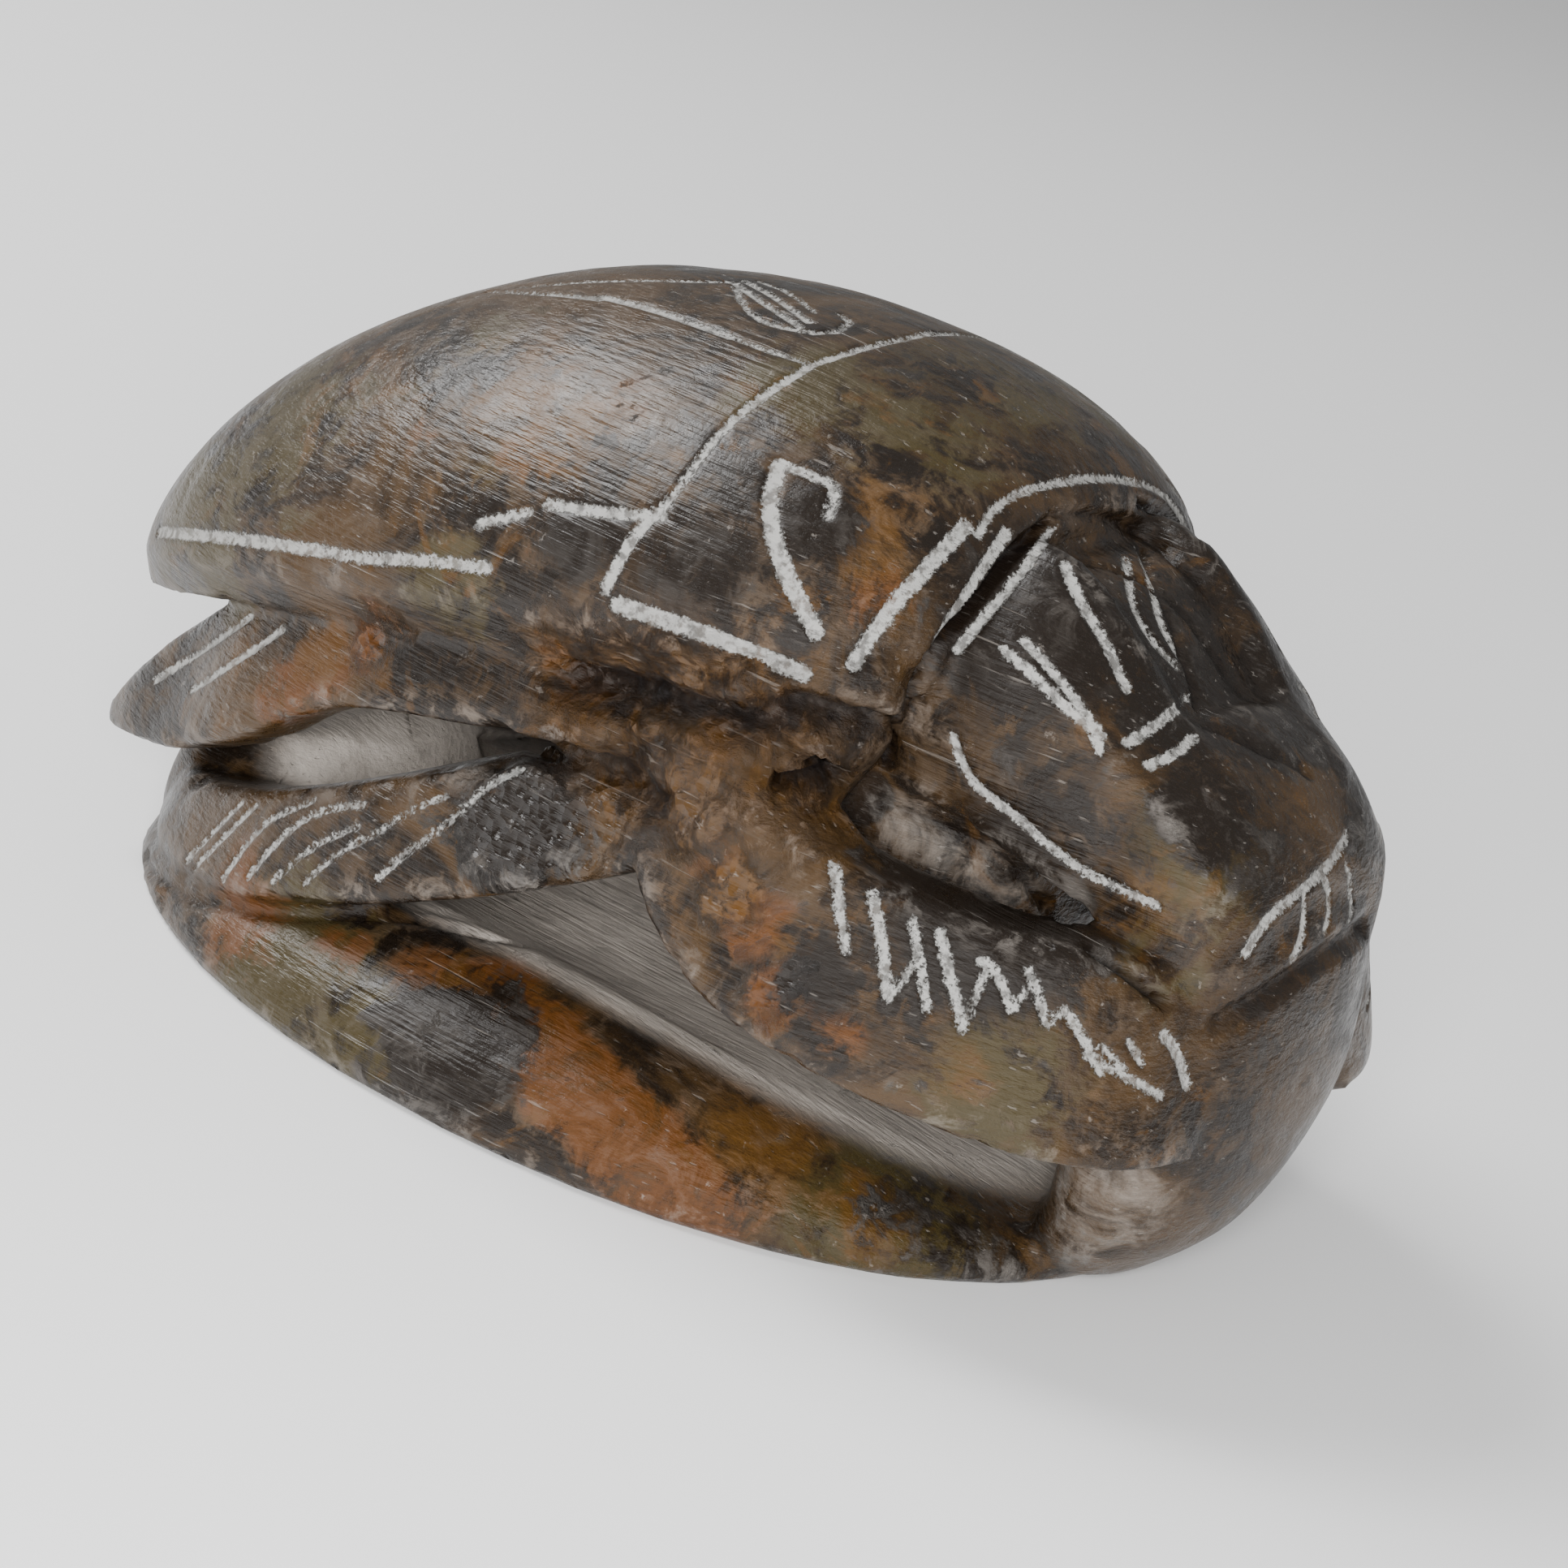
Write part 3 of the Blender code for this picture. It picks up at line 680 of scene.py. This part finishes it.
def block():
    """All the forms as one skin, and its points: the steps that the filling leaves are relaxed by
    moving each point part of the way to the mean of its neighbours."""
    skins = [shell(), head(), front_wall(), base_slab(), tail_wall(), belly()]
    for side in (1.0, -1.0):
        skins += [hub(side), front_leg(side), middle_leg(side), hind_leg(side)]
    mesh = run_together(skins)
    mesh.name = "scarab_carving"
    co, edges = points_of(mesh), edges_of(mesh)
    for _ in range(RELAX_PASSES):
        co = (1 - RELAX_SHARE) * co + RELAX_SHARE * neighbour_mean(edges, co)
    put_points(mesh, co)
    return mesh, co


def sharpness(co, edges, normal):
    """From 0 on flat stone to 1 on an edge: how far each point stands out over its neighbours."""
    bend = np.einsum("ij,ij->i", neighbour_mean(edges, co) - co, normal) / MM
    for _ in range(3):
        bend = neighbour_mean(edges, bend)
    return np.clip(-bend / SHARP_BEND, 0, 1)


def carve(mesh, tree):
    """Moves each point along its normal by the unevenness less the chips, grooves and cuts, and
    gives the new points. The foot of the slab stays flat."""
    co, normal = points_of(mesh), normals_of(mesh)
    ridge = sharpness(co, edges_of(mesh), normal)
    knot = blob(co * (1, 0, 1) + np.abs(co) * (0, 1, 0), KNOT_MIDDLE, KNOT_HALF_SIZE)
    waves = [depth * noise(co, size, seed)
             for seed, (depth, size) in enumerate(HAND_WORK + KNOTTED_WORK, start=1)]
    rough = waves[0] + waves[1] + knot * (waves[2] + waves[3])
    chips = CHIP_DEPTH * ridge * step(*CHIP_NOISE, noise(co, CHIP_SIZE, 5))
    groove = GROOVE_DEPTH * step(*GROOVE_WALL, stroke_field(co, tree))
    cut = cut_depth(co, tree)
    above = step(FLAT_BELOW, CARVED_ABOVE, co[:, 2])
    co = co + normal * ((rough - chips - groove - cut) * above)[:, None] * MM
    co[:, 2] = np.maximum(co[:, 2], 0.0)
    put_points(mesh, co)
    store(mesh, "ridge", ridge)
    # the cut depth also sets how dark the painted shade in the cuts is
    store(mesh, "cut", np.clip(cut / FULL_SHADE_DEPTH, 0, 1))
    store(mesh, "knot", knot)
    return co


def carved_stone():
    """The whole scarab as one carved skin, with what its stone needs kept on its points."""
    mesh, co = block()
    tree = BVHTree.FromPolygons(co.tolist(), [tuple(p.vertices) for p in mesh.polygons])
    refine(mesh, (stroke_field(co, tree) > -BESIDE_STROKE) | (cut_depth(co, tree) > LEAST_CUT))
    co = carve(mesh, tree)
    stroke = stroke_field(co, tree)
    store(mesh, "stroke", stroke)
    for name, places in PATCHES.items():
        store(mesh, name, patches(co, tree, places))
    across = np.sqrt((co[:, 0] / HOLLOW_HALF_LENGTH) ** 2 + (co[:, 1] / HOLLOW_HALF_WIDTH) ** 2)
    # the hollow's bare stone, made pale partly as painted light in the shade of the shell
    store(mesh, "inside", step(1.15, 0.95, across) * step(HOLLOW_POLISHED, HOLLOW_BARE_LIT, co[:, 2]))
    obj = bpy.data.objects.new("scarab_carving", mesh)
    bpy.context.scene.collection.objects.link(obj)
    for polygon in mesh.polygons:
        polygon.use_smooth = True
    unseen = (co[:, 2] < FLAT_BELOW) | ((across < 0.9) & (co[:, 2] < HOLLOW_PLAIN))
    thin_out(obj, np.where(unseen, 1.0, np.where(stroke > -0.8, 0.0, 0.5)))
    return obj


def node(tree, kind, settings=None, **inputs):
    """Adds a node: settings are its own values, inputs are numbers or the sockets that feed it."""
    made = tree.nodes.new(kind)
    for name, value in (settings or {}).items():
        setattr(made, name, value)
    for name, value in inputs.items():
        socket = made.inputs[name.replace("_", " ")]
        if isinstance(value, bpy.types.NodeSocket):
            tree.links.new(value, socket)
        else:
            socket.default_value = value
    return made


def attribute(tree, name):
    """What store kept under this name."""
    return node(tree, 'ShaderNodeAttribute', {"attribute_name": name}).outputs["Fac"]


def maths(tree, operation, a, b=0.0):
    """Result of one sum on two values, each a number or a socket."""
    made = tree.nodes.new('ShaderNodeMath')
    made.operation = operation
    for socket, value in zip(made.inputs, (a, b)):
        if isinstance(value, bpy.types.NodeSocket):
            tree.links.new(value, socket)
        else:
            socket.default_value = value
    return made.outputs[0]


def ramp(tree, value, low, high, out_low=0.0, out_high=1.0):
    """Smooth step of the value from low to high, put out between the two out values."""
    made = node(tree, 'ShaderNodeMapRange', {"interpolation_type": 'SMOOTHSTEP'}, Value=value,
                From_Min=low, From_Max=high, To_Min=out_low, To_Max=out_high)
    return made.outputs["Result"]


def grain(tree, place, scale, detail=3.0, roughness=0.55, distortion=0.0):
    """Cloudy noise from 0 to 1, of scale humps to the metre."""
    made = node(tree, 'ShaderNodeTexNoise', {}, Vector=place, Scale=scale, Detail=detail,
                Roughness=roughness, Distortion=distortion)
    return made.outputs["Fac"]


def turned(tree, place, turn, scale):
    """The place turned, then stretched, for a pattern that runs along one direction."""
    return node(tree, 'ShaderNodeMapping', {}, Vector=place, Rotation=turn, Scale=scale).outputs["Vector"]


def blend(tree, factor, under, over):
    """Colour that goes from under, where the factor is 0, to over, where it is 1."""
    made = node(tree, 'ShaderNodeMix', {"data_type": 'RGBA'})
    for index, value in ((0, factor), (6, under), (7, over)):
        if isinstance(value, bpy.types.NodeSocket):
            tree.links.new(value, made.inputs[index])
        else:
            made.inputs[index].default_value = value
    return made.outputs[2]


DARK_STONE_AND_SHADE = (0.009, 0.006, 0.004, 1)
BROWN_STONE = (0.047, 0.026, 0.010, 1)
OLIVE_STONE = (0.038, 0.028, 0.010, 1)
RUST_STONE = (0.076, 0.027, 0.005, 1)
AMBER_STONE = (0.074, 0.034, 0.007, 1)
PALE_STONE = (0.360, 0.325, 0.290, 1)
DEEP_SHADE = (0.003, 0.002, 0.002, 1)
BARE_LIT_STONE = (0.500, 0.450, 0.400, 1)
CHALK = (0.300, 0.295, 0.280, 1)

# File marks and long scratches: the turn of the pattern, and its counts per metre along each axis
FILE_TURN = (0, np.radians(24), np.radians(8))
FILE_SCALE = (120, 1400, 2600)
SCRATCH_TURN = (0.1, np.radians(34), 0.3)
SCRATCH_SCALE = (90, 1800, 3200)
GRAIN_RELIEF = 0.18 * MM
POLISH = 0.4

# Studio: place, width in metres and power in watts of each soft light, and the glow all round
FLOOR_SIZE = 60
SKY_STRENGTH = 0.36
LIGHTS = {"key": ((-0.38, -0.05, 0.41), 0.30, 3.9),
          "near": ((0.22, -0.42, 0.165), 0.50, 1.0),
          "front": ((0.14, -0.24, 0.105), 0.08, 1.3)}


def stone():
    """Waxed soapstone: brown to near black by noise, with olive, rust, honey and dark patches (the dark ones
    at the hub painted shade), amber in the knots, pale bare stone inside that is also painted light, file
    marks, flecks, painted shade in the cuts and chalky engraved strokes."""
    mat = bpy.data.materials.new("waxed_stone")
    mat.use_nodes = True
    tree = mat.node_tree
    bsdf = tree.nodes["Principled BSDF"]
    bsdf.inputs["Specular IOR Level"].default_value = POLISH
    place = node(tree, 'ShaderNodeTexCoord').outputs["Object"]
    cloud = grain(tree, place, 85, 8, 0.68, 0.8)
    mottle = grain(tree, place, 380, 8, 0.72, 0.5)
    speck = grain(tree, place, 1500, 3, 0.6)
    files = grain(tree, turned(tree, place, FILE_TURN, FILE_SCALE), 1.0, 3, 0.6)
    scratches = grain(tree, turned(tree, place, SCRATCH_TURN, SCRATCH_SCALE), 1.0, 2)
    scratches = ramp(tree, scratches, 0.66, 0.74)

    def broken(name, low, high):
        """A patch with a ragged edge: its mask and both noises are added, and the smooth step of the
        sum is taken from low to high. The noises alone come to about 2."""
        ragged = maths(tree, 'ADD', attribute(tree, name), maths(tree, 'MULTIPLY', cloud, 2.4))
        ragged = maths(tree, 'ADD', ragged, maths(tree, 'MULTIPLY', mottle, 1.6))
        return ramp(tree, ragged, low, high)

    colour = blend(tree, ramp(tree, cloud, 0.42, 0.60), DARK_STONE_AND_SHADE, BROWN_STONE)
    colour = blend(tree, ramp(tree, mottle, 0.46, 0.62, 0.0, 0.7), colour, BROWN_STONE)
    colour = blend(tree, broken("olive", 2.35, 2.75), colour, OLIVE_STONE)
    rust = maths(tree, 'MULTIPLY', broken("rust", 2.40, 2.85), ramp(tree, mottle, 0.34, 0.54, 0.25, 1.0))
    colour = blend(tree, rust, colour, RUST_STONE)
    veins = ramp(tree, grain(tree, place, 140, 6, 0.7, 1.0), 0.56, 0.66, 0.0, 0.6)
    colour = blend(tree, veins, colour, AMBER_STONE)
    colour = blend(tree, maths(tree, 'MULTIPLY', broken("honey", 2.35, 2.85), 0.8), colour, AMBER_STONE)
    # dark stone, and painted shade in the deep opening by the hub
    colour = blend(tree, broken("dark", 2.40, 2.70), colour, DARK_STONE_AND_SHADE)
    knot = maths(tree, 'MULTIPLY', attribute(tree, "knot"), ramp(tree, mottle, 0.35, 0.6))
    colour = blend(tree, maths(tree, 'MULTIPLY', knot, 0.5), colour, AMBER_STONE)
    colour = blend(tree, ramp(tree, files, 0.58, 0.84, 0.0, 0.08), colour, PALE_STONE)
    colour = blend(tree, maths(tree, 'MULTIPLY', broken("bare", 2.20, 2.90), 0.32), colour, PALE_STONE)
    # bare stone in the hollow, its paleness partly painted light under the shell
    inside = maths(tree, 'MULTIPLY', attribute(tree, "inside"), ramp(tree, mottle, 0.25, 0.60, 0.6, 1.0))
    colour = blend(tree, inside, colour, BARE_LIT_STONE)
    worn = maths(tree, 'MULTIPLY', attribute(tree, "ridge"), ramp(tree, mottle, 0.48, 0.62))
    colour = blend(tree, maths(tree, 'MULTIPLY', worn, 0.20), colour, PALE_STONE)
    colour = blend(tree, maths(tree, 'MULTIPLY', scratches, 0.20), colour, PALE_STONE)
    fleck = ramp(tree, grain(tree, place, 900, 5, 0.7), 0.64, 0.72, 0.0, 0.25)
    colour = blend(tree, fleck, colour, PALE_STONE)
    # painted shade: near black in cuts and pits and under ledges, darker with the depth of the cut
    colour = blend(tree, maths(tree, 'MULTIPLY', attribute(tree, "cut"), 0.9), colour, DEEP_SHADE)

    crumbs = maths(tree, 'SUBTRACT', grain(tree, place, 3200, 4, 0.75), 0.5)
    ragged = maths(tree, 'ADD', attribute(tree, "stroke"), maths(tree, 'MULTIPLY', crumbs, 0.9))
    stroke = ramp(tree, ragged, -0.04, 0.10)
    stroke = maths(tree, 'MULTIPLY', stroke, ramp(tree, speck, 0.36, 0.54, 0.35, 1.0))
    colour = blend(tree, stroke, colour, CHALK)
    tree.links.new(colour, bsdf.inputs["Base Color"])

    facets = maths(tree, 'MAXIMUM', broken("broken", 2.30, 2.70), knot)
    shine = ramp(tree, mottle, 0.35, 0.65, 0.24, 0.42)
    shine = maths(tree, 'SUBTRACT', shine, maths(tree, 'MULTIPLY', facets, 0.16))
    shine = maths(tree, 'ADD', shine, maths(tree, 'MULTIPLY', inside, 0.3))
    shine = maths(tree, 'ADD', shine, maths(tree, 'MULTIPLY', stroke, 0.5))
    tree.links.new(shine, bsdf.inputs["Roughness"])

    height = maths(tree, 'MULTIPLY', files, 0.9)
    height = maths(tree, 'ADD', height, maths(tree, 'MULTIPLY', mottle, 0.5))
    height = maths(tree, 'ADD', height, maths(tree, 'MULTIPLY', speck, 0.25))
    faces = node(tree, 'ShaderNodeTexVoronoi', {}, Vector=place, Scale=1100).outputs["Distance"]
    height = maths(tree, 'ADD', height, maths(tree, 'MULTIPLY', facets, maths(tree, 'MULTIPLY', faces, 2.2)))
    height = maths(tree, 'SUBTRACT', height, maths(tree, 'MULTIPLY', scratches, 0.3))
    height = maths(tree, 'SUBTRACT', height, maths(tree, 'MULTIPLY', stroke, 0.4))
    bump = node(tree, 'ShaderNodeBump', {}, Strength=1.0, Distance=GRAIN_RELIEF, Height=height)
    tree.links.new(bump.outputs["Normal"], bsdf.inputs["Normal"])
    return mat


def floor_and_light():
    """Pale floor, even glow and three soft lights. The front one only fills the hollows: nothing
    mirrors it."""
    bpy.ops.mesh.primitive_plane_add(size=FLOOR_SIZE)
    floor = bpy.context.object
    floor.name = "floor"
    mat = bpy.data.materials.new("pale_floor")
    mat.use_nodes = True
    bsdf = mat.node_tree.nodes["Principled BSDF"]
    bsdf.inputs["Base Color"].default_value = (0.9, 0.9, 0.9, 1)
    bsdf.inputs["Roughness"].default_value = 0.9
    floor.data.materials.append(mat)
    world = bpy.data.worlds.new("studio")
    world.use_nodes = True
    world.node_tree.nodes["Background"].inputs["Color"].default_value = (1, 1, 1, 1)
    world.node_tree.nodes["Background"].inputs["Strength"].default_value = SKY_STRENGTH
    bpy.context.scene.world = world
    for name, (place, size, power) in LIGHTS.items():
        light = bpy.data.lights.new(name, 'AREA')
        light.size = size
        light.energy = power
        obj = bpy.data.objects.new(name, light)
        obj.location = place
        obj.visible_glossy = name != "front"
        obj.rotation_euler = (Vector(VIEW_TARGET) - obj.location).to_track_quat('-Z', 'Y').to_euler()
        bpy.context.scene.collection.objects.link(obj)


def camera():
    """The camera of the photograph: its frame is shifted so that VIEW_TARGET lands on its pixel."""
    cam = bpy.data.cameras.new("camera")
    cam.sensor_width = 36.0
    cam.lens = VIEW_FOCAL_PX / FRAME_PX * cam.sensor_width
    cam.shift_x = 0.5 - VIEW_TARGET_PX[0] / FRAME_PX
    cam.shift_y = VIEW_TARGET_PX[1] / FRAME_PX - 0.5
    cam.clip_start = 0.01
    obj = bpy.data.objects.new("camera", cam)
    obj.matrix_world = Matrix([(*row, place) for row, place in zip(np.stack([RIGHT, UP, BACK], axis=1), EYE)]
                              + [(0, 0, 0, 1)])
    bpy.context.scene.collection.objects.link(obj)
    bpy.context.scene.camera = obj


camera()
floor_and_light()
carving = carved_stone()
carving.data.materials.append(stone())
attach(carving, "root")
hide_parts("scarab")
